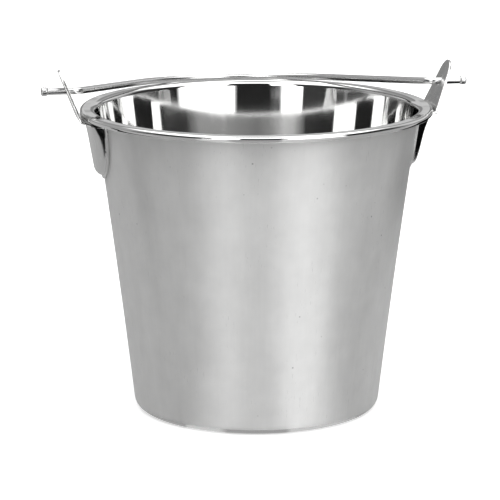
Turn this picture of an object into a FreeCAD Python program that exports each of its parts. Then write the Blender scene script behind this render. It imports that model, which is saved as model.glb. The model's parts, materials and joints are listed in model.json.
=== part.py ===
import FreeCAD, Part
import math
import os

# Stainless feed bucket: a deep-drawn tapered pail with a curled rim, two pressed
# sheet ears welded under the rim, and a wire bail that swings in the ears.
# Millimetres. +Z is up. The origin is the centre of the flat base, on the ground.
# The ears stand on the X axis and the bail lies folded back towards +Y, at rest
# on the rim. Heights in the ears are measured from the centre line of the curl.

# --- pail shell -------------------------------------------------------------
RIM_RADIUS = 152.4            # over the curl: a 12 inch mouth
OVERALL_HEIGHT = 265.0        # ground to the top of the curl
CURL_DIAMETER = 5.8
SHEET = 1.0                   # drawn stainless sheet
WALL_TOP_RADIUS = 140.0       # outside of the wall, carried up to the curl's centre
WALL_FOOT_RADIUS = 106.7      # outside of the wall, carried down to the ground
BASE_CORNER_RADIUS = 9.0      # outside
FLARE_RADIUS = 4.5            # middle of the sheet, where the wall turns outwards
CURL_TURN = 290.0             # degrees that the edge is rolled round

# --- ears -------------------------------------------------------------------
EAR_SHEET = 2.0
EAR_LEAN = 22.0               # degrees that the lug leans outwards
CURL_GAP = 1.5                # between the ear and the curl
PIVOT_RISE = 20.3             # bail pivot above the curl's centre line
LUG_RADIUS = 14.0             # round top of the lug
LUG_CENTRE_RISE = 5.0         # the round top's centre above the hole, along the lug
LUG_HOLE_RADIUS = 4.8
NECK_HALF_WIDTH = 25.0        # at the foot of the lug, where it passes the curl
BOSS_TOP_DROP = 3.3           # the boss starts just under the curl
BOSS_TOP_STEP = 1.2           # its face starts this far in from the lug's
BOSS_KNEE_DROP = 36.0         # where the boss turns in to the wall
BOSS_FOOT_DROP = 39.0
BOSS_KNEE_HEIGHT = 8.0        # boss face above the wall at the knee
BOSS_TOP_HALF_WIDTH = 25.0
BOSS_LOW_HALF_WIDTH = 22.0    # at the boss's face, where the round foot starts
BOSS_DRAFT = 10.0             # how much wider each flank is at the wall
BOSS_LOW_DROP = 20.0
BOSS_TIP_RADIUS = 17.0
BOSS_CORE = 60.0              # the boss's block starts this far inside the pail, then is cut
WELD_FLANGE = 3.0             # flat margin round the boss, welded to the wall

# --- bail -------------------------------------------------------------------
WIRE_DIAMETER = 6.0
BAIL_DEPTH = 169.6            # pivot line to the middle of the bail
BAIL_CROWN_RADIUS = 98.0
BAIL_LEG_ANGLE = 60.5         # degrees between each leg and the pivot line
BAIL_BEND_RADIUS = 9.0        # where each leg turns out to the ear
BAIL_END_REACH = 186.0        # centre of the pail to each wire end
END_HEAD_RADIUS = 3.8         # the ends are upset so that they stay in the ears
END_HEAD_LENGTH = 5.0
REST_RISE = 0.75              # wire above the curl where they cross; 0.3 at the nearest

# --- worked out from the sizes above ----------------------------------------
CURL_RADIUS = CURL_DIAMETER / 2
CURL_CENTRE_RADIUS = RIM_RADIUS - CURL_RADIUS
CURL_CENTRE_HEIGHT = OVERALL_HEIGHT - CURL_RADIUS
WALL_SLOPE = (WALL_TOP_RADIUS - WALL_FOOT_RADIUS) / CURL_CENTRE_HEIGHT
WALL_ANGLE = math.degrees(math.atan(WALL_SLOPE))
WIRE_RADIUS = WIRE_DIAMETER / 2
PIVOT_HEIGHT = CURL_CENTRE_HEIGHT + PIVOT_RISE
EAR_SLOPE = math.tan(math.radians(EAR_LEAN))
FAR = 400.0                   # longer than anything here, for cutting tools


def point(x, z, y=0.0):
    return FreeCAD.Vector(x, y, z)


def on_circle(centre, radius, degrees):
    """The point of a circle in the XZ plane, from its centre (x, z)."""
    angle = math.radians(degrees)
    return (centre[0] + radius * math.cos(angle), centre[1] + radius * math.sin(angle))


def flat(vertex):
    return (vertex.X, vertex.Z)


def line_edge(start, end):
    return Part.LineSegment(point(*start), point(*end)).toShape()


def arc_edge(centre, radius, start_degrees, end_degrees):
    """An arc in the XZ plane, either way round."""
    places = [start_degrees, (start_degrees + end_degrees) / 2, end_degrees]
    ends = [point(*on_circle(centre, radius, place)) for place in places]
    return Part.Arc(*ends).toShape()


def side_of_sheet(runs, shift):
    """The edges of a sheet's mid line moved to its left by shift.

    A run is ("line", start, end) or ("arc", centre, radius, start, end).
    """
    edges = []
    for run in runs:
        if run[0] == "line":
            (x0, z0), (x1, z1) = run[1:]
            length = math.hypot(x1 - x0, z1 - z0)
            left = (-(z1 - z0) / length * shift, (x1 - x0) / length * shift)
            edges.append(line_edge((x0 + left[0], z0 + left[1]), (x1 + left[0], z1 + left[1])))
        else:
            centre, radius, start, end = run[1:]
            turn = 1 if end > start else -1
            edges.append(arc_edge(centre, radius - turn * shift, start, end))
    return edges


def wall_radius(height):
    """Outside radius of the wall at a height above the ground."""
    return WALL_FOOT_RADIUS + height * WALL_SLOPE


def shell_mid_line():
    """The middle of the pail's sheet, from the centre of the base to the curl's edge."""
    tilt = math.radians(WALL_ANGLE)
    half = SHEET / 2
    corner_x = WALL_FOOT_RADIUS + BASE_CORNER_RADIUS * (math.tan(tilt) - 1 / math.cos(tilt))
    corner = (corner_x, BASE_CORNER_RADIUS)
    corner_radius = BASE_CORNER_RADIUS - half

    flange_height = OVERALL_HEIGHT - half
    flare_z = flange_height - FLARE_RADIUS
    meet_z = flare_z + FLARE_RADIUS * math.sin(tilt)
    meet_x = wall_radius(meet_z) - half / math.cos(tilt)
    flare = (meet_x + FLARE_RADIUS * math.cos(tilt), flare_z)

    curl = (CURL_CENTRE_RADIUS, CURL_CENTRE_HEIGHT)
    return [
        ("line", (0.0, half), (corner_x, half)),
        ("arc", corner, corner_radius, -90.0, -WALL_ANGLE),
        ("line", on_circle(corner, corner_radius, -WALL_ANGLE), (meet_x, meet_z)),
        ("arc", flare, FLARE_RADIUS, 180.0 - WALL_ANGLE, 90.0),
        ("line", (flare[0], flange_height), (curl[0], flange_height)),
        ("arc", curl, CURL_RADIUS - half, 90.0, 90.0 - CURL_TURN),
    ]


def make_pail_shell():
    runs = shell_mid_line()
    inner = side_of_sheet(runs, SHEET / 2)
    outer = side_of_sheet(runs, -SHEET / 2)
    lip = line_edge(flat(inner[-1].lastVertex()), flat(outer[-1].lastVertex()))
    axis = line_edge((0.0, 0.0), (0.0, SHEET))
    outline = Part.Wire(Part.__sortEdges__(inner + outer + [lip, axis]))
    return Part.Face(outline).revolve(point(0, 0), point(0, 1), 360)


def filled_wall(grow):
    """A solid cone that fills the wall, grown outwards by grow."""
    return Part.makeCone(
        WALL_FOOT_RADIUS + grow, wall_radius(OVERALL_HEIGHT) + grow, OVERALL_HEIGHT
    )


def touch_of_side(half, height, centre, radius):
    """Where a straight side from (half, height) touches the round end about (0, centre)."""
    rise = height - centre
    turn = math.atan2(abs(rise), half) - math.acos(radius / math.hypot(half, rise))
    return (radius * math.cos(turn), centre + math.copysign(radius, rise) * math.sin(turn))


def boss_outline(x, grow):
    """The boss seen along X: straight sides that lean in a little, and a round foot."""
    top = CURL_CENTRE_HEIGHT - BOSS_TOP_DROP
    low = CURL_CENTRE_HEIGHT - BOSS_LOW_DROP
    foot = CURL_CENTRE_HEIGHT - BOSS_FOOT_DROP - grow
    tip = BOSS_TIP_RADIUS + grow
    top_half = BOSS_TOP_HALF_WIDTH + grow
    low_half = BOSS_LOW_HALF_WIDTH + grow
    side_y, side_z = touch_of_side(low_half, low, foot + tip, tip)

    def place(y, z):
        return FreeCAD.Vector(x, y, z)

    corners = [(-top_half, top), (-low_half, low), (-side_y, side_z)]
    edges = []
    for start, end in zip(corners, corners[1:]):
        edges.append(Part.LineSegment(place(*start), place(*end)).toShape())
        edges.append(Part.LineSegment(place(-start[0], start[1]), place(-end[0], end[1])).toShape())
    foot_arc = Part.Arc(place(-side_y, side_z), place(0.0, foot), place(side_y, side_z))
    edges.append(foot_arc.toShape())
    edges.append(Part.LineSegment(place(-top_half, top), place(top_half, top)).toShape())
    return Part.Wire(Part.__sortEdges__(edges))


def ear_face_radius(drop):
    """Distance of the lug's outer face from the pail's axis, below the curl's centre."""
    half = EAR_SHEET / 2
    lean = math.radians(EAR_LEAN)
    middle = CURL_CENTRE_RADIUS + (CURL_RADIUS + CURL_GAP + half) / math.cos(lean)
    return middle + half / math.cos(lean) - drop * EAR_SLOPE


def boss_block(inset):
    """The pressed boss as a block, inset by the sheet's thickness for its hollow."""
    knee_z = CURL_CENTRE_HEIGHT - BOSS_KNEE_DROP
    foot_z = CURL_CENTRE_HEIGHT - BOSS_FOOT_DROP - BOSS_DRAFT
    top_z = CURL_CENTRE_HEIGHT - BOSS_TOP_DROP
    side = [
        (BOSS_CORE, top_z),
        (ear_face_radius(BOSS_TOP_DROP) - BOSS_TOP_STEP - inset, top_z),
        (wall_radius(knee_z) + BOSS_KNEE_HEIGHT - inset, knee_z),
        (wall_radius(foot_z) + EAR_SHEET - inset, foot_z),
        (BOSS_CORE, foot_z),
    ]
    corners = [point(x, z, -FAR / 2) for x, z in side]
    profile = Part.Face(Part.makePolygon(corners + corners[:1]))
    slab = profile.extrude(FreeCAD.Vector(0, FAR, 0))
    wide = boss_outline(wall_radius(foot_z), BOSS_DRAFT - inset)
    narrow = boss_outline(ear_face_radius(0.0), -inset)
    return Part.makeLoft([wide, narrow], True, True).common(slab)


def weld_flange():
    """The flat margin that lies on the wall round the boss."""
    outline = Part.Face(boss_outline(wall_radius(0.0), BOSS_DRAFT + WELD_FLANGE))
    prism = outline.extrude(FreeCAD.Vector(FAR, 0, 0))
    return prism.common(filled_wall(EAR_SHEET))


def lug_plate():
    """The leaning plate that passes the curl and carries the bail."""
    lean = math.cos(math.radians(EAR_LEAN))
    pivot = PIVOT_RISE / lean
    foot = -(BOSS_TOP_DROP + EAR_SHEET) / lean
    centre = pivot + LUG_CENTRE_RISE
    side_y, side_up = touch_of_side(NECK_HALF_WIDTH, foot, centre, LUG_RADIUS)

    def place(y, up):
        return FreeCAD.Vector(0, y, up)

    def side(way):
        start = place(way * NECK_HALF_WIDTH, foot)
        return Part.LineSegment(start, place(way * side_y, side_up)).toShape()

    foot_line = Part.LineSegment(place(-NECK_HALF_WIDTH, foot), place(NECK_HALF_WIDTH, foot))
    top_arc = Part.Arc(place(side_y, side_up), place(0, centre + LUG_RADIUS), place(-side_y, side_up))
    edges = [foot_line.toShape(), side(1), top_arc.toShape(), side(-1)]
    plate = Part.Face(Part.Wire(Part.__sortEdges__(edges))).extrude(FreeCAD.Vector(EAR_SHEET, 0, 0))
    hole = Part.makeCylinder(
        LUG_HOLE_RADIUS, FAR, FreeCAD.Vector(-FAR / 2, 0, pivot), FreeCAD.Vector(1, 0, 0)
    )
    plate = plate.cut(hole)
    plate.rotate(FreeCAD.Vector(0, 0, 0), FreeCAD.Vector(0, 1, 0), EAR_LEAN)
    inner_face = ear_face_radius(0.0) - EAR_SHEET / lean
    plate.translate(FreeCAD.Vector(inner_face, 0, CURL_CENTRE_HEIGHT))
    return plate


def make_ear():
    """The ear on the +X side."""
    hollow = boss_block(EAR_SHEET)
    pressing = boss_block(0.0).fuse(weld_flange()).cut(hollow)
    curl_room = Part.makeTorus(
        CURL_CENTRE_RADIUS, CURL_RADIUS + CURL_GAP, point(0, CURL_CENTRE_HEIGHT)
    )
    ear = pressing.fuse(lug_plate()).cut(filled_wall(0.0)).cut(curl_room)
    return ear.removeSplitter()


def bail_path():
    """The wire's middle line in the plane of the bail: X along the pivots, Z towards the crown."""
    leg = math.radians(BAIL_LEG_ANGLE)
    crown = (0.0, BAIL_DEPTH - BAIL_CROWN_RADIUS)
    start_turn = 90.0 - BAIL_LEG_ANGLE
    meet = on_circle(crown, BAIL_CROWN_RADIUS, start_turn)
    corner_x = meet[0] + meet[1] / math.tan(leg)
    tangent = BAIL_BEND_RADIUS * math.tan(leg / 2)
    bend = (corner_x + tangent, BAIL_BEND_RADIUS)
    low = on_circle(bend, BAIL_BEND_RADIUS, -90.0)
    high = on_circle(bend, BAIL_BEND_RADIUS, -90.0 - BAIL_LEG_ANGLE)

    def mirrored(place):
        return (-place[0], place[1])

    return [
        line_edge((BAIL_END_REACH, 0.0), low),
        arc_edge(bend, BAIL_BEND_RADIUS, -90.0, -90.0 - BAIL_LEG_ANGLE),
        line_edge(high, meet),
        arc_edge(crown, BAIL_CROWN_RADIUS, start_turn, 180.0 - start_turn),
        line_edge(mirrored(meet), mirrored(high)),
        arc_edge(mirrored(bend), BAIL_BEND_RADIUS, -90.0 + BAIL_LEG_ANGLE, -90.0),
        line_edge(mirrored(low), (-BAIL_END_REACH, 0.0)),
    ]


def rest_dip():
    """Degrees that the folded bail slopes down from the pivots to the rim it rests on."""
    crown_z = BAIL_DEPTH - BAIL_CROWN_RADIUS
    sine = (CURL_CENTRE_RADIUS ** 2 - crown_z ** 2 - BAIL_CROWN_RADIUS ** 2) / (
        2 * crown_z * BAIL_CROWN_RADIUS
    )
    reach = crown_z + BAIL_CROWN_RADIUS * sine
    rise = PIVOT_RISE - CURL_RADIUS - WIRE_RADIUS - REST_RISE
    return math.degrees(math.asin(rise / reach))


def make_bail():
    section = Part.Wire(
        Part.Circle(point(BAIL_END_REACH, 0), FreeCAD.Vector(1, 0, 0), WIRE_RADIUS).toShape()
    )
    bail = Part.Wire(bail_path()).makePipeShell([section], True, False)
    for side in (1, -1):
        face_x = side * (BAIL_END_REACH - END_HEAD_LENGTH)
        head = Part.makeCylinder(
            END_HEAD_RADIUS, END_HEAD_LENGTH, point(face_x, 0), FreeCAD.Vector(side, 0, 0)
        )
        rims = [edge for edge in head.Edges if len(edge.Vertexes) == 1]
        bail = bail.fuse(head.makeFillet(WIRE_RADIUS / 2, rims))
    bail = bail.removeSplitter()
    bail.rotate(FreeCAD.Vector(0, 0, 0), FreeCAD.Vector(1, 0, 0), -90.0 - rest_dip())
    bail.translate(point(0, PIVOT_HEIGHT))
    return bail


def write(node, shape):
    solid = shape.Solids[0]
    print(node, "valid", solid.isValid(), "solids", len(shape.Solids), "volume", round(solid.Volume, 1))
    solid.exportStep("parts/" + node + ".step")


def main():
    os.makedirs("parts", exist_ok=True)
    ear = make_ear()
    other_ear = ear.copy()
    other_ear.rotate(FreeCAD.Vector(0, 0, 0), FreeCAD.Vector(0, 0, 1), 180)
    write("pail_shell", make_pail_shell())
    write("ear_right", ear)
    write("ear_left", other_ear)
    write("bail", make_bail())
    print("bail dips", round(rest_dip(), 3), "degrees to the rim; pivot height", round(PIVOT_HEIGHT, 2))


main()
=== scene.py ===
import json
import math

import bmesh
import bpy
from bpy.props import FloatProperty, FloatVectorProperty, IntProperty, PointerProperty
from bpy.types import Operator, Panel, PropertyGroup
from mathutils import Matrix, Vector


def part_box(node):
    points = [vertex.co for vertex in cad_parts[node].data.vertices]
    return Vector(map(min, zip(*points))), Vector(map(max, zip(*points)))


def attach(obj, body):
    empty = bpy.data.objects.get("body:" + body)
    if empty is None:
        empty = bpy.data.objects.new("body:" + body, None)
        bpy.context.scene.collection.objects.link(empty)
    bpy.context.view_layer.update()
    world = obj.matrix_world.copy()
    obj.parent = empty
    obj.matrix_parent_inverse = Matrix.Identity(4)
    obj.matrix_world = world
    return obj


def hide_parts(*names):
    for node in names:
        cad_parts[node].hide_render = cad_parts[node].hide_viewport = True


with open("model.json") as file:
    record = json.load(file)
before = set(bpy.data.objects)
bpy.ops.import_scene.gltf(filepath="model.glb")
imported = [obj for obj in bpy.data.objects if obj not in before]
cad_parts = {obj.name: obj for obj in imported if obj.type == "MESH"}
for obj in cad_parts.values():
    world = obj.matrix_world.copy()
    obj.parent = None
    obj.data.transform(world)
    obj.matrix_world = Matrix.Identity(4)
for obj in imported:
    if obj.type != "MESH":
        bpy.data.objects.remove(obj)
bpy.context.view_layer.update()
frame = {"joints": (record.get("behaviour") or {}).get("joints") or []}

bl_info = {
    "name": "Feed Pail",
    "version": (1, 0, 0),
    "blender": (4, 5, 0),
    "location": "3D View > Sidebar > Feed Pail",
    "description": "Finished steel surfaces for a feed pail with pressed ears and a wire bail",
    "category": "Add Mesh",
}

SHELL_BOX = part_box("pail_shell")
BAIL_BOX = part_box("bail")
PIVOT_HEIGHT = frame["joints"][0]["pos_m"][2]
MM = 0.001
MILLILITRES = 1e6             # in a cubic metre
FULL_TURN = 2 * math.pi


# --- settings that a user would change --------------------------------------
def length(name, description, default):
    return FloatProperty(name=name, description=description, default=default,
                         min=0.0, precision=5, subtype="DISTANCE", unit="LENGTH")


def angle(name, description, degrees):
    return FloatProperty(name=name, description=description,
                         default=math.radians(degrees), subtype="ANGLE", unit="ROTATION")


def share(name, description, default):
    return FloatProperty(name=name, description=description, default=default,
                         min=0.0, max=1.0, subtype="FACTOR")


def tint(name, description, default):
    return FloatVectorProperty(name=name, description=description, default=default,
                               min=0.0, max=1.0, size=3, subtype="COLOR")


class PailSettings(PropertyGroup):
    rim_radius: length("Rim radius", "Over the curled edge", SHELL_BOX[1].x)
    height: length("Height", "Ground to the top of the curl", SHELL_BOX[1].z)
    sheet: length("Sheet", "Thickness of the drawn steel", 1.0 * MM)
    curl: length("Curl", "Diameter of the rolled edge", 5.8 * MM)
    curl_turn: angle("Curl turn", "How far the edge is rolled round", 290)
    top_radius: length("Wall top radius", "Outside of the wall at the curl's centre", 140.0 * MM)
    foot_radius: length("Wall foot radius", "Outside of the wall at the ground", 106.7 * MM)
    corner: length("Base corner", "Outside radius between base and wall", 9.0 * MM)
    flare: length("Flare", "Bend where the wall turns out to the curl", 4.5 * MM)
    steps: IntProperty(name="Steps", description="Steps round the pail", default=360, min=24)
    bow: length("Wall bow", "How far the middle of the wall dips in", 0.9 * MM)


class EarSettings(PropertyGroup):
    sheet: length("Sheet", "Thickness of the pressed ear", 2.0 * MM)
    lean: angle("Lean", "How far the lug leans outwards", 22)
    gap: length("Curl gap", "Between the ear and the curl", 1.5 * MM)
    lug_radius: length("Lug radius", "Round top of the lug", 14.0 * MM)
    lug_rise: length("Lug rise", "Round top's centre above the hole, along the lug", 5.0 * MM)
    hole_radius: length("Hole radius", "Hole that the bail passes", 4.8 * MM)
    neck: length("Neck half width", "Where the ear passes the curl", 25.0 * MM)
    boss_top: length("Boss top", "Below the curl's centre", 6.5 * MM)
    boss_foot: length("Boss foot", "Below the curl's centre", 53.0 * MM)
    boss_step: length("Boss step", "Top of the boss's face, in from the lug's", 6.3 * MM)
    boss_low: length("Boss low height", "Face above the wall, carried down to the foot", 7.0 * MM)
    boss_end: length("Boss end", "Height over which the foot rises from the wall", 7.0 * MM)
    flange: length("Flange", "Flat margin welded to the wall", 3.0 * MM)


class BailSettings(PropertyGroup):
    wire: length("Wire", "Diameter of the bail's wire", 6.0 * MM)
    depth: length("Depth", "Pivot line to the middle of the bail", 169.6 * MM)
    crown: length("Crown radius", "Arch of the bail", 98.0 * MM)
    leg: angle("Leg angle", "Between each leg and the pivot line", 60.5)
    bend: length("Bend radius", "Where each leg turns out to the ear", 9.0 * MM)
    head_radius: length("Head radius", "Upset end that holds the bail in the ear", 3.8 * MM)
    head_length: length("Head length", "Length of the upset end", 5.0 * MM)
    sides: IntProperty(name="Sides", description="Sides of the round wire", default=28, min=6)


class SteelSettings(PropertyGroup):
    satin: tint("Satin steel", "Outside of the pail", (0.80, 0.80, 0.795))
    mirror: tint("Mirror steel", "Inside of the pail", (0.80, 0.80, 0.795))
    ear: tint("Ear steel", "Pressed ears", (0.76, 0.76, 0.755))
    wire: tint("Wire steel", "Bail", (0.74, 0.74, 0.74))
    satin_roughness: share("Satin roughness", "Outside of the pail", 0.62)
    mirror_roughness: share("Mirror roughness", "Inside of the pail", 0.05)
    softness: share("Softness", "How much of the satin's light is scattered evenly", 0.3)
    brushing: share("Brushing", "How far the satin spreads light one way", 0.85)


class StageSettings(PropertyGroup):
    azimuth: angle("Azimuth", "Turn of the camera round the pail", -10.0)
    elevation: angle("Elevation", "Camera above the horizon", 12.85)
    distance: length("Distance", "Camera to the middle of the pail", 2.281)
    aim: length("Aim height", "Height that the camera looks at", 0.131)
    lens: FloatProperty(name="Lens", description="Focal length in millimetres", default=187.7)
    shift_x: FloatProperty(name="Shift X", description="Slides the frame sideways", default=-0.0128)
    shift_y: FloatProperty(name="Shift Y", description="Slides the frame upwards", default=0.0140)
    floor: tint("Floor", "Plain pale floor", (0.86, 0.86, 0.86))


# --- node trees --------------------------------------------------------------
NOISE_ROUGHNESS = 0.5


class Socket:
    """A node's output; an expression on it adds Math nodes."""

    def __init__(self, nodes, link):
        self.nodes = nodes
        self.link = link

    def other(self, name):
        """Another output of the same node."""
        return Socket(self.nodes, self.link.node.outputs[name])

    def maths(self, operation, *values):
        return self.nodes.add("ShaderNodeMath", {"operation": operation}, values)

    def __add__(self, value):
        return self.maths("ADD", self, value)

    def __sub__(self, value):
        return self.maths("SUBTRACT", self, value)

    def __rsub__(self, value):
        return self.maths("SUBTRACT", value, self)

    def __mul__(self, value):
        return self.maths("MULTIPLY", self, value)

    def __truediv__(self, value):
        return self.maths("DIVIDE", self, value)

    def __pow__(self, value):
        return self.maths("POWER", self, value)

    __radd__ = __add__
    __rmul__ = __mul__

    def sine(self):
        return self.maths("SINE", self)

    def cosine(self):
        return self.maths("COSINE", self)

    def at_least(self, value):
        return self.maths("MAXIMUM", self, value)

    def rounded(self):
        return self.maths("ROUND", self)

    def fraction(self):
        return self.maths("FRACT", self)

    def rise(self, start, end, low=0.0, high=1.0):
        """Eases from low to high as the value goes from start to end."""
        return self.nodes.add(
            "ShaderNodeMapRange", {"interpolation_type": "SMOOTHSTEP"},
            {"Value": self, "From Min": start, "From Max": end, "To Min": low, "To Max": high},
        )


class Nodes:
    """Builds one node tree."""

    def __init__(self, tree):
        self.tree = tree

    def add(self, kind, settings=None, values=(), output=None):
        """Makes a node: its settings first, then the values or links of its inputs."""
        node = self.tree.nodes.new(kind)
        for key, value in (settings or {}).items():
            if key == "stops":
                self.set_stops(node.color_ramp, value)
            else:
                setattr(node, key, value)
        pairs = values.items() if isinstance(values, dict) else enumerate(values)
        for key, value in pairs:
            self.feed(self.input_of(node, key), value)
        outputs = [one for one in node.outputs if one.enabled]
        if not outputs:
            return node
        return Socket(self, node.outputs[output] if output else outputs[0])

    def input_of(self, node, key):
        if isinstance(key, int):
            return node.inputs[key]
        return next(one for one in node.inputs if one.name == key and one.enabled)

    def feed(self, socket, value):
        if isinstance(value, Socket):
            self.tree.links.new(value.link, socket)
        elif socket.type == "RGBA" and len(value) == 3:
            socket.default_value = (*value, 1.0)
        else:
            socket.default_value = value

    def set_stops(self, ramp, stops):
        while len(ramp.elements) > 1:
            ramp.elements.remove(ramp.elements[0])
        ramp.elements[0].position = stops[0][0]
        for place, _ in stops[1:]:
            ramp.elements.new(place)
        for element, (_, grey) in zip(ramp.elements, stops):
            element.color = (grey, grey, grey, 1.0)

    def mix(self, factor, low, high):
        """A colour between two colours."""
        values = {"Factor": factor, "A": low, "B": high}
        return self.add("ShaderNodeMix", {"data_type": "RGBA"}, values)

    def vector(self, x, y, z):
        return self.add("ShaderNodeCombineXYZ", {}, {"X": x, "Y": y, "Z": z})

    def split(self, vector):
        first = self.add("ShaderNodeSeparateXYZ", {}, {"Vector": vector}, "X")
        return first, first.other("Y"), first.other("Z")

    def noise(self, vector, scale, detail):
        return self.add("ShaderNodeTexNoise", {"noise_dimensions": "3D"}, {
            "Vector": vector, "Scale": scale, "Detail": detail, "Roughness": NOISE_ROUGHNESS,
        })

    def stretched(self, vector, scale, rotation=(0.0, 0.0, 0.0)):
        values = {"Vector": vector, "Rotation": rotation, "Scale": scale}
        return self.add("ShaderNodeMapping", {}, values)

    def blend(self, base, patterns, weights):
        """The base plus each named pattern times its weight."""
        total = base
        for name, weight in weights.items():
            total = patterns[name] * weight + total
        return total

    def tinted(self, colour, shade):
        """A plain colour made lighter or darker."""
        values = {0: tuple(colour), "Scale": shade}
        return self.add("ShaderNodeVectorMath", {"operation": "SCALE"}, values)

    def bump(self, height, distance, under=None):
        values = {"Height": height, "Distance": distance, "Strength": 1.0}
        if under:
            values["Normal"] = under
        return self.add("ShaderNodeBump", {}, values)


def new_material(name):
    """A material with an empty node tree, and its builder."""
    material = bpy.data.materials.new(name)
    material.use_nodes = True
    material.node_tree.nodes.clear()
    return material, Nodes(material.node_tree)


def close_material(nodes, **values):
    """Ends a material with a metal surface."""
    named = {key.replace("_", " "): value for key, value in values.items()}
    surface = nodes.add("ShaderNodeBsdfPrincipled", {}, {"Metallic": 1.0, **named})
    nodes.add("ShaderNodeOutputMaterial", {}, {"Surface": surface})


def object_place(nodes):
    return nodes.add("ShaderNodeTexCoord", {}, (), "Object")


class ShapeTree(Nodes):
    """A geometry node tree with named inputs."""

    def __init__(self, name):
        super().__init__(bpy.data.node_groups.new(name, "GeometryNodeTree"))
        sockets = self.tree.interface
        sockets.new_socket("Geometry", in_out="INPUT", socket_type="NodeSocketGeometry")
        sockets.new_socket("Geometry", in_out="OUTPUT", socket_type="NodeSocketGeometry")
        self.start = self.tree.nodes.new("NodeGroupInput")
        self.values = {}

    def input(self, name, kind, value):
        kind = "NodeSocket" + kind
        socket = self.tree.interface.new_socket(name, in_out="INPUT", socket_type=kind)
        self.values[socket.identifier] = value
        return Socket(self, self.start.outputs[name])

    def geometry(self):
        return Socket(self, self.start.outputs["Geometry"])

    def close(self, geometry, material):
        """Ends the tree: everything real, smooth and with its material."""
        real = self.add("GeometryNodeRealizeInstances", {}, {"Geometry": geometry})
        smooth = self.add("GeometryNodeSetShadeSmooth", {}, {"Geometry": real})
        coated = self.add("GeometryNodeSetMaterial", {}, {"Geometry": smooth, "Material": material})
        self.add("NodeGroupOutput", {}, {"Geometry": coated})

    def put_on(self, piece):
        modifier = piece.modifiers.new(self.tree.name, "NODES")
        modifier.node_group = self.tree
        for identifier, value in self.values.items():
            modifier[identifier] = value


# --- objects -------------------------------------------------------------------
def new_piece(name, points, edges=(), faces=()):
    mesh = bpy.data.meshes.new(name)
    mesh.from_pydata([tuple(place) for place in points], edges, faces)
    piece = bpy.data.objects.new(name, mesh)
    bpy.context.scene.collection.objects.link(piece)
    return piece


def new_line(name, points):
    return new_piece(name, points, [(step, step + 1) for step in range(len(points) - 1)])


def make_plain(piece, material):
    """Bakes a piece's modifiers into a plain closed mesh."""
    bpy.context.view_layer.update()
    graph = bpy.context.evaluated_depsgraph_get()
    mesh = bpy.data.meshes.new_from_object(piece.evaluated_get(graph))
    piece.modifiers.clear()
    piece.data = mesh
    mesh.name = piece.name
    mesh.materials.clear()
    mesh.materials.append(material)
    if not mesh.polygons:
        raise RuntimeError(piece.name + " came out empty")
    for face in mesh.polygons:
        face.use_smooth = True
    print(piece.name, "faces", len(mesh.polygons), "open edges", len(open_edges(mesh)),
          "volume ml", volume_of(mesh))
    return piece


def open_edges(mesh):
    work = bmesh.new()
    work.from_mesh(mesh)
    found = [edge.index for edge in work.edges if not edge.is_manifold]
    work.free()
    return found


def volume_of(mesh):
    work = bmesh.new()
    work.from_mesh(mesh)
    volume = work.calc_volume(signed=True)
    work.free()
    return round(volume * MILLILITRES, 2)


# --- pail shell ------------------------------------------------------------------
CRISP_ROW = 0.4 * MM          # a row this close to a bend keeps it crisp
CRISP_MOST = 0.2              # and never further along its run than this share
CORNER_STEPS = 12
WALL_ROWS = 30
FLARE_STEPS = 10
CURL_STEPS = 26
MERGE_DISTANCE = 0.002 * MM   # closes the seam and the centre of the base

SATIN_START = -0.7            # where the satin starts and is full, in sheets from the wall's face
SATIN_FULL = -0.4
SATIN_END = 1.0               # and where it ends under the curl, in curls below the top
MIRROR_FULL = 0.9
AXIS_LIMIT = 1.0 * MM         # keeps the patterns from dividing by nothing at the axis
# Patterns round the pail: how fast each changes up the wall, its scale and its detail.
WALL_PATTERNS = {
    "clouds": (3.0, 6.0, 3.0), "streaks": (0.5, 45.0, 2.0), "grain": (0.6, 190.0, 2.0),
    "scratches": (0.35, 330.0, 1.0), "waves": (2.0, 4.0, 1.0),
}
# Patterns that run the same way in all directions: scale and detail.
SPOT_PATTERNS = {"blotches": (55.0, 3.0), "dents": (22.0, 2.0), "worn": (25.0, 1.0)}
SCRATCH_EDGE = (0.72, 0.78)
PIT_SCALE = 70.0
PIT_EDGE = (0.035, 0.07)
WORN_EDGE = (0.45, 0.6)
SATIN_SHADE = 0.82
SATIN_SHADES = {"clouds": 0.16, "blotches": 0.14, "streaks": 0.06, "marks": -0.40}
SATIN_SMOOTHEST = -0.12       # added to the satin's roughness
SATIN_ROUGHENING = {"clouds": 0.08, "streaks": 0.10, "blotches": 0.06}
MARKED_MIRROR = (0.5, 0.5, 0.5)
MARKED_SHARE = 0.5
HAZE_EDGE = (0.5, 0.75)
HAZE = 0.035                  # added to the mirror's roughness where it is cloudy
WAVE_HEIGHT = 0.3 * MM
DENT_HEIGHT = 0.35 * MM
GRAIN_HEIGHT = 0.02 * MM
MARK_DEPTH = 1.5              # in heights of the grain
BRUSH_TURN = 0.25             # quarter turn: the brush lines lie level round the wall


def wall_slope(pail):
    return (pail.top_radius - pail.foot_radius) / (pail.height - pail.curl / 2)


def wall_bow(pail, z):
    """How far the wall's face dips in at a height; the drawn wall is a little hollow."""
    part = min(max((z - pail.corner) / (pail.height - pail.curl - pail.corner), 0.0), 1.0)
    return pail.bow * 4 * part * (1 - part)


def run_of_line(start, end, parts=(0.5,)):
    """Places on a straight run with the direction to its left, and a crisp row at each end."""
    along = Vector(end) - Vector(start)
    left = Vector((-along.y, along.x)).normalized()
    near = min(CRISP_ROW / along.length, CRISP_MOST)
    return [(Vector(start) + along * part, left) for part in (0, near, *parts, 1 - near, 1)]


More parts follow.
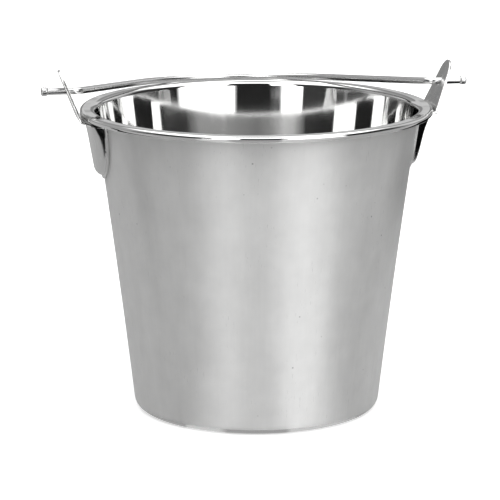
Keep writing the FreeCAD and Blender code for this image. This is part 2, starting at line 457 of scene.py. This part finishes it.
def run_of_arc(centre, radius, start, end, steps):
    """Places on an arc, angles in radians, with the direction to its left."""
    side = -1 if end > start else 1
    places = []
    for step in range(steps + 1):
        turn = start + (end - start) * step / steps
        outward = Vector((math.cos(turn), math.sin(turn)))
        places.append((Vector(centre) + outward * radius, outward * side))
    return places


def sheet_middle(pail):
    """The middle of the pail's sheet from the centre of the base to the curl's edge."""
    half = pail.sheet / 2
    tilt = math.atan(wall_slope(pail))
    curl_radius = pail.curl / 2
    corner_x = pail.foot_radius + pail.corner * (math.tan(tilt) - 1 / math.cos(tilt))
    corner = (corner_x, pail.corner)
    bend = pail.corner - half
    flange_z = pail.height - half
    flare_z = flange_z - pail.flare
    meet_z = flare_z + pail.flare * math.sin(tilt)
    meet_x = pail.foot_radius + meet_z * wall_slope(pail) - half / math.cos(tilt)
    flare = (meet_x + pail.flare * math.cos(tilt), flare_z)
    curl = (pail.rim_radius - curl_radius, pail.height - curl_radius)
    quarter = math.pi / 2
    wall_foot = (corner_x + bend * math.cos(tilt), pail.corner - bend * math.sin(tilt))
    runs = [
        run_of_line((0.0, half), (corner_x, half)),
        run_of_arc(corner, bend, -quarter, -tilt, CORNER_STEPS),
        run_of_line(wall_foot, (meet_x, meet_z), [row / WALL_ROWS for row in range(1, WALL_ROWS)]),
        run_of_arc(flare, pail.flare, math.pi - tilt, quarter, FLARE_STEPS),
        run_of_line((flare[0], flange_z), (curl[0], flange_z)),
        run_of_arc(curl, curl_radius - half, quarter, quarter - pail.curl_turn, CURL_STEPS),
    ]
    middle = runs[0]
    for run in runs[1:]:
        middle = middle + run[1:]
    return middle


def shell_outline(pail):
    """Both faces of the sheet as one line, over the inside, round the curl's edge and back."""
    half = pail.sheet / 2
    middle = sheet_middle(pail)
    inner = [place + left * half for place, left in middle]
    outer = [place - left * half for place, left in middle]
    last, left = middle[-1]
    ahead = Vector((left.y, -left.x))
    lip = [last + (left * math.cos(turn) + ahead * math.sin(turn)) * half
           for turn in (math.pi / 4, math.pi / 2, 3 * math.pi / 4)]
    outline = inner + lip + outer[::-1]
    return [(place.x - wall_bow(pail, place.y), 0.0, place.y) for place in outline]


def turning_tree(pail, material):
    """Turns an outline in the XZ plane round the Z axis."""
    tree = ShapeTree("turned_sheet")
    steps = tree.input("Steps Around", "Int", pail.steps)
    coat = tree.input("Material", "Material", material)
    outline = tree.geometry()
    count = tree.add("GeometryNodeAttributeDomainSize", {}, {"Geometry": outline}, "Point Count")
    grid = tree.add("GeometryNodeMeshGrid", {}, {
        "Size X": 1.0, "Size Y": 1.0, "Vertices X": steps + 1, "Vertices Y": count,
    }, "Mesh")
    across, along, _ = tree.split(tree.add("GeometryNodeInputPosition"))
    turn = (across + 0.5) * FULL_TURN
    row = ((along + 0.5) * (count - 1)).rounded()
    vectors = {"data_type": "FLOAT_VECTOR", "domain": "POINT"}
    place = tree.add("GeometryNodeSampleIndex", vectors, {
        "Geometry": outline, "Value": tree.add("GeometryNodeInputPosition"), "Index": row,
    })
    radius, _, height = tree.split(place)
    turned = tree.add("GeometryNodeSetPosition", {}, {
        "Geometry": grid,
        "Position": tree.vector(radius * turn.cosine(), radius * turn.sine(), height),
    })
    merging = {"Geometry": turned, "Distance": MERGE_DISTANCE}
    closed = tree.add("GeometryNodeMergeByDistance", {}, merging)
    outward = tree.add("GeometryNodeFlipFaces", {}, {"Mesh": closed})
    tree.close(outward, coat)
    return tree


def make_shell(settings):
    pail = settings.pail
    material = shell_steel(settings.steel, pail)
    piece = new_line("pail_body", shell_outline(pail))
    turning_tree(pail, material).put_on(piece)
    make_plain(piece, material)
    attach(piece, "pail")
    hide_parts("pail_shell")
    return piece


def shell_steel(steel, pail):
    """Satin brushed outside, mirror polished inside and over the curl."""
    material, nodes = new_material("shell_steel")
    place = object_place(nodes)
    x, y, z = nodes.split(place)
    radius = ((x * x + y * y) ** 0.5).at_least(AXIS_LIMIT)
    up = ((z - pail.corner) / (pail.height - pail.curl - pail.corner)).rise(0, 1)
    wall = z * wall_slope(pail) + pail.foot_radius - up * (1 - up) * 4 * pail.bow
    outside = (radius - wall).rise(SATIN_START * pail.sheet, SATIN_FULL * pail.sheet)
    satin_end = pail.height - SATIN_END * pail.curl
    mirror_full = pail.height - MIRROR_FULL * pail.curl
    below_rim = z.rise(satin_end, mirror_full, 1.0, 0.0)
    satin = outside * below_rim

    patterns = {}
    for name, (upwards, scale, detail) in WALL_PATTERNS.items():
        around = nodes.vector(x / radius, y / radius, z * upwards)
        patterns[name] = nodes.noise(around, scale, detail)
    for name, (scale, detail) in SPOT_PATTERNS.items():
        patterns[name] = nodes.noise(place, scale, detail)
    cells = nodes.add("ShaderNodeTexVoronoi", {}, {"Vector": place, "Scale": PIT_SCALE})
    pits = cells.rise(*PIT_EDGE, 1.0, 0.0)
    damage = patterns["scratches"].rise(*SCRATCH_EDGE).at_least(pits)
    marks = damage * patterns["worn"].rise(*WORN_EDGE)
    patterns["marks"] = marks

    satin_colour = nodes.tinted(steel.satin, nodes.blend(SATIN_SHADE, patterns, SATIN_SHADES))
    mirror_colour = nodes.mix(marks * MARKED_SHARE, tuple(steel.mirror), MARKED_MIRROR)
    satin_rough = nodes.blend(steel.satin_roughness + SATIN_SMOOTHEST, patterns, SATIN_ROUGHENING)
    mirror_rough = patterns["clouds"].rise(*HAZE_EDGE, 0.0, HAZE) + steel.mirror_roughness
    rough = satin_rough * satin + mirror_rough * (1 - satin)

    waves = nodes.bump(patterns["waves"], WAVE_HEIGHT)
    wavy = nodes.bump(patterns["dents"] * satin, DENT_HEIGHT, waves)
    brushed = nodes.bump((patterns["grain"] - marks * MARK_DEPTH) * satin, GRAIN_HEIGHT, wavy)
    close_material(
        nodes, Base_Color=nodes.mix(satin, mirror_colour, satin_colour), Roughness=rough,
        Metallic=1 - satin * steel.softness, Anisotropic=steel.brushing,
        Anisotropic_Rotation=BRUSH_TURN, Normal=brushed,
    )
    return material


# --- ears ----------------------------------------------------------------------
EAR_ROWS = 90
EAR_COLUMNS = 110
NECK_COLUMNS = 72             # the middle columns, which run on up into the lug
LUG_STEPS = 120
NECK_ROWS = 16
LUG_ROWS = 14
ARCH_LOW = 2.6                # how square the boss's arch is over most of its height
ARCH_TOP = 8                  # and how much squarer it gets close to the curl
ARCH_TOP_POWER = 8
ARCH_SHOULDER = 0.7           # under 1 makes the arch's flanks steeper
LEAST_HALF = 0.1 * MM         # keeps the arch from dividing by nothing at the foot
EDGE_BREAK = 0.35 * MM
EDGE_BREAK_STEPS = 2
SHARP_EDGE = math.radians(50)

EAR_CLOUDS = (70.0, 3.0)      # scale and detail
EAR_GRAIN = (900.0, 2.0)
EAR_DRAWN = (1.0, 2.0)
EAR_SCRATCHES = (1.0, 1.0)
EAR_STREAK_STRETCH = (60.0, 900.0, 60.0)
EAR_SCRATCH_STRETCH = (150.0, 1500.0, 90.0)
EAR_SCRATCH_TURN = (0.5, 0.0, 0.0)
EAR_SCRATCH_EDGE = (0.72, 0.8)
EAR_SHADE = 0.88
EAR_SHADES = {"clouds": 0.12, "streaks": 0.10, "scratches": -0.25}
EAR_ROUGHNESS = 0.14
EAR_ROUGHENING = {"clouds": 0.12, "streaks": 0.08, "scratches": 0.15}
EAR_RELIEF = {"grain": 0.4, "streaks": 0.6, "scratches": -1.0}
EAR_RELIEF_HEIGHT = 0.02 * MM


class EarShape:
    """The outer face of a pressed ear on the +X side; places are (y, height)."""

    def __init__(self, ear, pail):
        self.ear = ear
        self.pail = pail
        self.slope = wall_slope(pail)
        self.foot_radius = pail.foot_radius
        self.curl_height = pail.height - pail.curl / 2
        lean = math.cos(ear.lean)
        past_curl = (pail.curl / 2 + ear.gap + ear.sheet) / lean
        self.plane = pail.rim_radius - pail.curl / 2 + past_curl
        self.pivot_up = (PIVOT_HEIGHT - self.curl_height) / lean
        self.boss_top = self.curl_height - ear.boss_top
        self.boss_foot = self.curl_height - ear.boss_foot
        self.boss_height = self.boss_top - self.boss_foot
        self.whole_half = ear.neck * EAR_COLUMNS / NECK_COLUMNS
        self.top_face = self.plane - ear.boss_top * math.tan(ear.lean) - ear.boss_step

    def lug_point(self, y, up):
        """A place on the leaning lug, up the plane from the level of the curl's centre."""
        lean = self.ear.lean
        return Vector((
            self.plane + up * math.sin(lean), y, self.curl_height + up * math.cos(lean),
        ))

    def ring_point(self, turn, part):
        """A place on a ring of the lug: its round top at part 0, the hole at part 1."""
        reach = self.ear.lug_radius + (self.ear.hole_radius - self.ear.lug_radius) * part
        centre = self.pivot_up + self.ear.lug_rise * (1 - part)
        return (reach * math.cos(turn), centre + reach * math.sin(turn))

    def edge_point(self, turn):
        """Half width and height of the whole ear's edge, from the foot at 0 to the top."""
        height = self.boss_height + self.ear.flange
        return (self.whole_half * math.sin(turn), self.boss_top - height * math.cos(turn))

    def rise_of_boss(self, y, z):
        """How much of its full height the boss has at a place: an arch, flatter near the curl."""
        if z <= self.boss_foot:
            return 0.0
        part = (z - self.boss_foot) / self.boss_height
        half = (self.whole_half - self.ear.flange) * math.sqrt(max(1 - (1 - part) ** 2, 0.0))
        across = min(abs(y) / max(half, LEAST_HALF), 1.0)
        square = ARCH_LOW + ARCH_TOP * part ** ARCH_TOP_POWER
        arch = (1 - across ** square) ** ARCH_SHOULDER
        end = min((z - self.boss_foot) / self.ear.boss_end, 1.0)
        return arch * math.sqrt(end * (2 - end))

    def point(self, y, z):
        """A place on the boss or the flange."""
        radius = self.foot_radius + z * self.slope - wall_bow(self.pail, z) + self.ear.sheet
        wall = math.sqrt(radius ** 2 - y ** 2)
        part = (z - self.boss_foot) / self.boss_height
        low_face = self.foot_radius + self.boss_foot * self.slope + self.ear.boss_low
        face = low_face + (self.top_face - low_face) * part
        return Vector((wall + max(face - wall, 0.0) * self.rise_of_boss(y, z), y, z))


def ear_mesh(shape):
    """Points and faces of the ear's outer face, rows from the foot up."""
    points = [shape.point(0.0, shape.boss_foot - shape.ear.flange)]
    faces = []
    rows = []
    for row in range(1, EAR_ROWS + 1):
        half, z = shape.edge_point(math.pi / 2 * row / EAR_ROWS)
        rows.append(range(len(points), len(points) + EAR_COLUMNS + 1))
        for column in range(EAR_COLUMNS + 1):
            points.append(shape.point(half * (2 * column / EAR_COLUMNS - 1), z))
    for left, right in zip(rows[0], rows[0][1:]):
        faces.append((0, right, left))

    # The neck's rows ease from the boss's straight top to the lower part of the lug's rings.
    side = (EAR_COLUMNS - NECK_COLUMNS) // 2
    neck = [list(rows[-1][side:side + NECK_COLUMNS + 1])]
    base_up = -shape.ear.boss_top / math.cos(shape.ear.lean)
    ring_turn = FULL_TURN / LUG_STEPS
    first_turn = -math.pi / 2 - NECK_COLUMNS / 2 * ring_turn
    for row in range(1, NECK_ROWS + 1):
        part = row / NECK_ROWS
        neck.append(list(range(len(points), len(points) + NECK_COLUMNS + 1)))
        for column in range(NECK_COLUMNS + 1):
            low_y = shape.ear.neck * (2 * column / NECK_COLUMNS - 1)
            high_y, high_up = shape.ring_point(first_turn + column * ring_turn, 0)
            points.append(shape.lug_point(
                low_y + (high_y - low_y) * part, base_up + (high_up - base_up) * part,
            ))

    # Rings round the hole; the outermost shares the neck's last row.
    ring = neck[-1] + [None] * (LUG_STEPS - NECK_COLUMNS - 1)
    for step in range(NECK_COLUMNS + 1, LUG_STEPS):
        ring[step] = len(points)
        points.append(shape.lug_point(*shape.ring_point(first_turn + step * ring_turn, 0)))
    rings = [ring]
    for row in range(1, LUG_ROWS + 1):
        rings.append(list(range(len(points), len(points) + LUG_STEPS)))
        for step in range(LUG_STEPS):
            place = shape.ring_point(first_turn + step * ring_turn, row / LUG_ROWS)
            points.append(shape.lug_point(*place))

    for block in (rows, neck):
        for low, high in zip(block, block[1:]):
            for column in range(len(low) - 1):
                faces.append((low[column], low[column + 1], high[column + 1], high[column]))
    for outer, inner in zip(rings, rings[1:]):
        for step in range(LUG_STEPS):
            follow = (step + 1) % LUG_STEPS
            faces.append((outer[step], outer[follow], inner[follow], inner[step]))
    return points, faces


def make_ear(settings, name, side, material):
    """One ear; side is 1 on the +X side and -1 on the other."""
    shape = EarShape(settings.ear, settings.pail)
    points, faces = ear_mesh(shape)
    turned = [(side * place.x, side * place.y, place.z) for place in points]
    piece = new_piece(name, turned, (), faces)
    thick = piece.modifiers.new("thickness", "SOLIDIFY")
    thick.thickness = settings.ear.sheet
    thick.offset = -1.0
    thick.use_even_offset = True
    edge = piece.modifiers.new("broken_edges", "BEVEL")
    edge.width = EDGE_BREAK
    edge.segments = EDGE_BREAK_STEPS
    edge.limit_method = "ANGLE"
    edge.angle_limit = SHARP_EDGE
    make_plain(piece, material)
    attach(piece, "pail")
    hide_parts("ear_right" if side > 0 else "ear_left")
    return piece


def ear_steel(steel):
    """Bright pressed sheet with a fine grain and handling marks."""
    material, nodes = new_material("ear_steel")
    place = object_place(nodes)
    drawn = nodes.stretched(place, EAR_STREAK_STRETCH)
    scored = nodes.stretched(place, EAR_SCRATCH_STRETCH, EAR_SCRATCH_TURN)
    patterns = {
        "clouds": nodes.noise(place, *EAR_CLOUDS),
        "grain": nodes.noise(place, *EAR_GRAIN),
        "streaks": nodes.noise(drawn, *EAR_DRAWN),
        "scratches": nodes.noise(scored, *EAR_SCRATCHES).rise(*EAR_SCRATCH_EDGE),
    }
    colour = nodes.tinted(steel.ear, nodes.blend(EAR_SHADE, patterns, EAR_SHADES))
    rough = nodes.blend(EAR_ROUGHNESS, patterns, EAR_ROUGHENING)
    normal = nodes.bump(nodes.blend(0.0, patterns, EAR_RELIEF), EAR_RELIEF_HEIGHT)
    close_material(nodes, Base_Color=colour, Roughness=rough, Normal=normal)
    return material


# --- bail ------------------------------------------------------------------------
HEAD_STEPS = 40
BEND_STEPS = 20
CROWN_STEPS = 36
HEAD_REACH = 1.4              # fine steps from the end, in head lengths
HEAD_NOSE = 0.45              # length of the rounded nose, in head radii
HEAD_FACE = 0.55              # flat face at the very end, in head radii
HEAD_SHOULDER = 0.85          # where the head starts to narrow, in head lengths
HEAD_TAPER = 0.35             # and over what length it does

LINE_STRETCH = (3.0, 12.0)    # die lines: how fast they change round and along the wire
DIE_LINES = (2.5, 3.0)        # scale and detail
WIRE_CLOUDS = (60.0, 3.0)
NICK_STRETCH = 220.0
NICKS = (2.0, 1.0)
NICK_EDGE = (0.7, 0.76)
WIRE_SHADE = 0.88
WIRE_SHADES = {"clouds": 0.12, "lines": 0.12, "nicks": -0.2}
WIRE_ROUGHNESS = 0.12
WIRE_ROUGHENING = {"lines": 0.14, "clouds": 0.08}
WIRE_RELIEF = {"lines": 1.0, "nicks": -0.6}
WIRE_RELIEF_HEIGHT = 0.03 * MM


def rest_dip(bail):
    """Angle that the folded bail slopes down from the pivots to the rim."""
    drop = PIVOT_HEIGHT - bail.wire / 2 - BAIL_BOX[0].z
    return math.asin(drop / bail.depth)


def bail_line(bail):
    """Half of the wire's middle line, from its +X end to the crown, as (across, deep)."""
    reach = BAIL_BOX[1].x
    crown = Vector((0.0, bail.depth - bail.crown))
    start_turn = math.pi / 2 - bail.leg
    meet = crown + Vector((math.cos(start_turn), math.sin(start_turn))) * bail.crown
    corner_x = meet.x + meet.y / math.tan(bail.leg)
    bend = Vector((corner_x + bail.bend * math.tan(bail.leg / 2), bail.bend))
    head_reach = bail.head_length * HEAD_REACH
    head = [Vector((reach - head_reach * step / HEAD_STEPS, 0.0)) for step in range(HEAD_STEPS + 1)]
    low = bend - Vector((0.0, bail.bend))
    turn_low = -math.pi / 2
    bent = run_of_arc(bend, bail.bend, turn_low, turn_low - bail.leg, BEND_STEPS)
    line = head
    for run in (
        run_of_line(head[-1], low),
        bent,
        run_of_line(bent[-1][0], meet),
        run_of_arc(crown, bail.crown, start_turn, math.pi / 2, CROWN_STEPS),
    ):
        line = line + [place for place, _ in run[1:]]
    return line


def wire_radius_at(bail, distance):
    """Radius of the wire a distance from its end: a rounded button, then the plain wire."""
    thin = bail.wire / 2
    nose = bail.head_radius * HEAD_NOSE
    if distance < nose:
        part = 1 - distance / nose
        round_part = (1 - HEAD_FACE) * math.sqrt(max(1 - part * part, 0.0))
        return bail.head_radius * (HEAD_FACE + round_part)
    part = (distance / bail.head_length - HEAD_SHOULDER) / HEAD_TAPER
    part = min(max(part, 0.0), 1.0)
    ease = part * part * (3 - 2 * part)
    return bail.head_radius + (thin - bail.head_radius) * ease


def wire_tree(bail, material):
    """A round wire along a line, as thick at each point as its wire_radius says."""
    tree = ShapeTree("drawn_wire")
    sides = tree.input("Sides", "Int", bail.sides)
    coat = tree.input("Material", "Material", material)
    line = tree.add("GeometryNodeMeshToCurve", {}, {"Mesh": tree.geometry()})
    measure = tree.add("GeometryNodeSplineParameter", {}, (), "Length")
    numbers = {"data_type": "FLOAT", "domain": "POINT"}
    marked = tree.add("GeometryNodeStoreNamedAttribute", numbers, {
        "Geometry": line, "Name": "wire_along", "Value": measure,
    })
    named = {"Name": "wire_radius"}
    thick = tree.add("GeometryNodeInputNamedAttribute", {"data_type": "FLOAT"}, named)
    ring = tree.add("GeometryNodeCurvePrimitiveCircle", {}, {"Resolution": sides, "Radius": 1.0})
    circle = tree.add("GeometryNodeSplineParameter", {}, (), "Factor") * FULL_TURN
    vectors = {"data_type": "FLOAT_VECTOR", "domain": "POINT"}
    bearing = tree.add("GeometryNodeStoreNamedAttribute", vectors, {
        "Geometry": ring, "Name": "wire_around",
        "Value": tree.vector(circle.cosine(), circle.sine(), 0.0),
    })
    wire = tree.add("GeometryNodeCurveToMesh", {}, {
        "Curve": marked, "Profile Curve": bearing, "Scale": thick, "Fill Caps": True,
    })
    tree.close(wire, coat)
    return tree


def make_bail(settings):
    bail = settings.bail
    material = bail_steel(settings.steel)
    half = bail_line(bail)
    line = half + [Vector((-place.x, place.y)) for place in half[-2::-1]]
    dip = rest_dip(bail)
    across = math.cos(dip)
    down = math.sin(dip)
    points = [(place.x, place.y * across, PIVOT_HEIGHT - place.y * down) for place in line]
    piece = new_line("bail_wire", points)
    radii = piece.data.attributes.new("wire_radius", "FLOAT", "POINT")
    for item, place in zip(radii.data, line):
        item.value = wire_radius_at(bail, BAIL_BOX[1].x - abs(place.x))
    wire_tree(bail, material).put_on(piece)
    make_plain(piece, material)
    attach(piece, "bail")
    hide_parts("bail")
    return piece


def bail_steel(steel):
    """Bright drawn wire with die lines along it."""
    material, nodes = new_material("bail_steel")
    along = nodes.add("ShaderNodeAttribute", {"attribute_name": "wire_along"}, (), "Fac")
    around = nodes.add("ShaderNodeAttribute", {"attribute_name": "wire_around"}, (), "Vector")
    cosine, sine, _ = nodes.split(around)
    turn_stretch, run_stretch = LINE_STRETCH
    drawn = nodes.vector(cosine * turn_stretch, sine * turn_stretch, along * run_stretch)
    nicked = nodes.vector(cosine, sine, along * NICK_STRETCH)
    patterns = {
        "lines": nodes.noise(drawn, *DIE_LINES),
        "clouds": nodes.noise(object_place(nodes), *WIRE_CLOUDS),
        "nicks": nodes.noise(nicked, *NICKS).rise(*NICK_EDGE),
    }
    colour = nodes.tinted(steel.wire, nodes.blend(WIRE_SHADE, patterns, WIRE_SHADES))
    rough = nodes.blend(WIRE_ROUGHNESS, patterns, WIRE_ROUGHENING)
    normal = nodes.bump(nodes.blend(0.0, patterns, WIRE_RELIEF), WIRE_RELIEF_HEIGHT)
    close_material(nodes, Base_Color=colour, Roughness=rough, Normal=normal)
    return material


# --- stage -----------------------------------------------------------------------
# Panels and gaps of the studio round the pail: degrees to the right of the camera, brightness.
# The first list is the studio near the horizon, the second is higher up.
STUDIO_LOW = [
    (-180, 0.25), (-89, 0.25), (-84, 0.03), (-72, 0.02), (-70, 0.25), (-68, 0.04), (-35, 0.05),
    (-34, 2.4), (-19, 2.4), (-18, 0.02), (15, 0.02), (17, 2.4), (58, 2.2), (60, 0.02), (70, 0.03),
    (95, 0.18), (180, 0.25),
]
STUDIO_HIGH = [
    (-180, 0.25), (-140, 0.38), (-94, 0.42), (-70, 0.05), (-30, 0.05), (-29, 2.4), (-11, 2.4),
    (-10, 0.02), (21, 0.02), (22, 2.4), (59, 2.4), (60, 0.02), (105, 0.05), (122, 0.65),
    (138, 0.75), (155, 0.38), (180, 0.25),
]
STUDIO_FLOOR = [
    (-180, 0.5), (-66, 0.3), (-65, 0.05), (-36, 0.05), (-35, 1.5), (-18, 1.5), (-14, 0.05),
    (15, 0.05), (16, 1.5), (40, 1.3), (56, 0.6), (57, 0.1), (109, 0.1), (110, 0.5), (180, 0.5),
]
FLAGS = [("flag_left", -1, -160, -78), ("flag_right", 1, -85, 60)]  # degrees round the ear, from +X
FLAG_CENTRE = (145 * MM, -20 * MM)
FLAG_REACH = 50 * MM
FLAG_HEIGHTS = (165 * MM, 252 * MM)
FLAG_STEPS = 12
FLOOR_HALF = 12.0
FLOOR_ROUGHNESS = 0.9
FLOOR_SHINE = 0.1
RAMP_PEAK = 2.0               # brightness of full white on a studio ramp
SENSOR_WIDTH = 36.0           # millimetres
HIGH_START = 7.8              # degrees up where the second list takes over
HIGH_END = 8.4
DOME_START = 38               # degrees up where the bands give way to the overhead light
DOME_END = 55
DOME_LIGHT = 2.2
ROOF_START = 72               # degrees up where the overhead light ends in a dark roof
ROOF_END = 80
ROOF_LIGHT = 0.3
BACK_LIGHT = 0.35             # low light behind the pail, which brightens the rim's flat
BACK_SIDES = (0.5, 0.8)       # its sides, its foot and its top fade over these parts of a direction
BACK_LOW = (0.14, 0.17)
BACK_HIGH = (0.27, 0.31)
FLOOR_PANELS = 0.2            # brightness of the panels as the steel mirrors them in the floor
FLOOR_EVEN = 0.4              # and of the floor itself between them
FLOOR_GLOW = 0.45             # lifts the floor to plain white where it is seen


def studio_bands(nodes, x, y, stage, bands):
    """Brightness of the studio in the direction (x, y) from the pail."""
    bearing = x.maths("ARCTAN2", x, 0 - y) - stage.azimuth
    turn = (bearing / FULL_TURN + 0.5).fraction()
    stops = [((degrees + 180) / 360, grey / RAMP_PEAK) for degrees, grey in bands]
    ramp = nodes.add("ShaderNodeValToRGB", {"stops": stops}, {"Fac": turn}, "Color")
    return nodes.add("ShaderNodeRGBToBW", {}, {"Color": ramp}) * RAMP_PEAK


def height_of(degrees):
    """The z part of a unit direction that many degrees up."""
    return math.sin(math.radians(degrees))


def make_world(stage):
    """Soft white overhead light, white panels and dark gaps round the pail."""
    world = bpy.data.worlds.new("studio")
    bpy.context.scene.world = world
    world.use_nodes = True
    world.node_tree.nodes.clear()
    nodes = Nodes(world.node_tree)
    direction = nodes.add("ShaderNodeTexCoord", {}, (), "Generated")
    x, y, z = nodes.split(direction)
    dome = z.rise(height_of(DOME_START), height_of(DOME_END))
    upper = z.rise(height_of(HIGH_START), height_of(HIGH_END))
    low_light = studio_bands(nodes, x, y, stage, STUDIO_LOW) * (1 - upper)
    high_light = studio_bands(nodes, x, y, stage, STUDIO_HIGH) * upper
    behind = y.rise(*BACK_SIDES) * z.rise(*BACK_LOW) * z.rise(*BACK_HIGH, 1.0, 0.0)
    overhead = z.rise(height_of(ROOF_START), height_of(ROOF_END), DOME_LIGHT, ROOF_LIGHT)
    light = (low_light + high_light + behind * BACK_LIGHT) * (1 - dome) + dome * overhead
    seen = nodes.add("ShaderNodeLightPath", {}, (), "Is Camera Ray")
    light = light * (1 - seen) + seen
    shine = nodes.add("ShaderNodeBackground", {}, {"Color": (1.0, 1.0, 1.0), "Strength": light})
    nodes.add("ShaderNodeOutputWorld", {}, {"Surface": shine})


def floor_white(stage):
    """White as seen, while the steel mirrors the studio's panels and gaps in it."""
    material, nodes = new_material("floor_white")
    x, y, _ = nodes.split(nodes.add("ShaderNodeTexCoord", {}, (), "Object"))
    path = nodes.add("ShaderNodeLightPath", {}, (), "Is Camera Ray")
    mirrored = path.other("Is Glossy Ray")
    plain = 1 - mirrored
    panels = studio_bands(nodes, x, y, stage, STUDIO_FLOOR) * FLOOR_PANELS + FLOOR_EVEN
    glow = panels * mirrored + path * FLOOR_GLOW
    matt = nodes.add("ShaderNodeBsdfPrincipled", {}, {
        "Base Color": nodes.tinted(stage.floor, plain),
        "Roughness": FLOOR_ROUGHNESS, "Specular IOR Level": FLOOR_SHINE,
        "Emission Color": (1.0, 1.0, 1.0), "Emission Strength": glow,
    })
    nodes.add("ShaderNodeOutputMaterial", {}, {"Surface": matt})
    return material


def make_floor(stage):
    half = FLOOR_HALF
    corners = [(-half, -half, 0.0), (half, -half, 0.0), (half, half, 0.0), (-half, half, 0.0)]
    floor = new_piece("floor", corners, (), [(0, 1, 2, 3)])
    floor.data.materials.append(floor_white(stage))


def make_flags(stage):
    """Two bent black cards close to the ears, there for the steel to mirror and nothing else."""
    material, nodes = new_material("flag_black")
    dark = nodes.add("ShaderNodeEmission", {}, {"Color": (0.0, 0.0, 0.0), "Strength": 0.0})
    nodes.add("ShaderNodeOutputMaterial", {}, {"Surface": dark})
    for name, side, start, end in FLAGS:
        points = []
        faces = []
        for step in range(FLAG_STEPS + 1):
            turn = math.radians(start + (end - start) * step / FLAG_STEPS)
            x = side * FLAG_CENTRE[0] + FLAG_REACH * math.cos(turn)
            y = FLAG_CENTRE[1] + FLAG_REACH * math.sin(turn)
            points += [(x, y, FLAG_HEIGHTS[0]), (x, y, FLAG_HEIGHTS[1])]
        for step in range(FLAG_STEPS):
            low = 2 * step
            faces.append((low, low + 2, low + 3, low + 1))
        flag = new_piece(name, points, (), faces)
        flag.data.materials.append(material)
        flag.visible_camera = False
        flag.visible_diffuse = False
        flag.visible_transmission = False
        flag.visible_shadow = False


def make_camera(stage):
    camera = bpy.data.objects.new("camera", bpy.data.cameras.new("camera"))
    bpy.context.scene.collection.objects.link(camera)
    flat = math.cos(stage.elevation)
    back = Vector((
        math.sin(stage.azimuth) * flat, -math.cos(stage.azimuth) * flat, math.sin(stage.elevation),
    ))
    camera.location = Vector((0.0, 0.0, stage.aim)) + back * stage.distance
    camera.rotation_euler = (-back).to_track_quat("-Z", "Y").to_euler()
    camera.data.lens = stage.lens
    camera.data.sensor_width = SENSOR_WIDTH
    camera.data.shift_x = stage.shift_x
    camera.data.shift_y = stage.shift_y
    bpy.context.scene.camera = camera


# --- operators --------------------------------------------------------------------
class PAIL_OT_shell(Operator):
    """Make the turned pail with its curled rim"""
    bl_idname = "feed_pail.shell"
    bl_label = "Make Pail Shell"

    def execute(self, context):
        make_shell(context.scene.feed_pail)
        return {"FINISHED"}


class PAIL_OT_ears(Operator):
    """Make the two pressed ears"""
    bl_idname = "feed_pail.ears"
    bl_label = "Make Ears"

    def execute(self, context):
        settings = context.scene.feed_pail
        material = ear_steel(settings.steel)
        make_ear(settings, "ear_plate_right", 1, material)
        make_ear(settings, "ear_plate_left", -1, material)
        return {"FINISHED"}


class PAIL_OT_bail(Operator):
    """Make the wire bail"""
    bl_idname = "feed_pail.bail"
    bl_label = "Make Bail"

    def execute(self, context):
        make_bail(context.scene.feed_pail)
        return {"FINISHED"}


class PAIL_OT_stage(Operator):
    """Make the floor, the studio light and the camera"""
    bl_idname = "feed_pail.stage"
    bl_label = "Make Stage"

    def execute(self, context):
        stage = context.scene.feed_pail.stage
        make_world(stage)
        make_floor(stage)
        make_flags(stage)
        make_camera(stage)
        context.scene.view_settings.view_transform = "Standard"
        return {"FINISHED"}


class FeedPailSettings(PropertyGroup):
    pail: PointerProperty(type=PailSettings, name="Pail", description="Sizes of the shell")
    ear: PointerProperty(type=EarSettings, name="Ears", description="Sizes of the ears")
    bail: PointerProperty(type=BailSettings, name="Bail", description="Sizes of the bail")
    steel: PointerProperty(type=SteelSettings, name="Steel", description="Colours and finishes")
    stage: PointerProperty(type=StageSettings, name="Stage", description="Camera and floor")


class PAIL_PT_panel(Panel):
    """Lists the pail's pieces and settings"""
    bl_label = "Feed Pail"
    bl_idname = "PAIL_PT_panel"
    bl_space_type = "VIEW_3D"
    bl_region_type = "UI"
    bl_category = "Feed Pail"

    def draw(self, context):
        settings = context.scene.feed_pail
        for operator in OPERATORS:
            self.layout.operator(operator.bl_idname)
        for group in ("pail", "ear", "bail", "steel", "stage"):
            box = self.layout.box()
            values = getattr(settings, group)
            for name in values.__annotations__:
                box.prop(values, name)


OPERATORS = [PAIL_OT_stage, PAIL_OT_shell, PAIL_OT_ears, PAIL_OT_bail]
GROUPS = [PailSettings, EarSettings, BailSettings, SteelSettings, StageSettings]
CLASSES = [*GROUPS, FeedPailSettings, *OPERATORS, PAIL_PT_panel]


def register():
    for one in CLASSES:
        bpy.utils.register_class(one)
    bpy.types.Scene.feed_pail = PointerProperty(
        type=FeedPailSettings, name="Feed pail", description="Everything about the pail",
    )


def unregister():
    del bpy.types.Scene.feed_pail
    for one in reversed(CLASSES):
        bpy.utils.unregister_class(one)


def main():
    register()
    bpy.ops.feed_pail.stage()
    bpy.ops.feed_pail.shell()
    bpy.ops.feed_pail.ears()
    bpy.ops.feed_pail.bail()


if __name__ == "__main__":
    main()
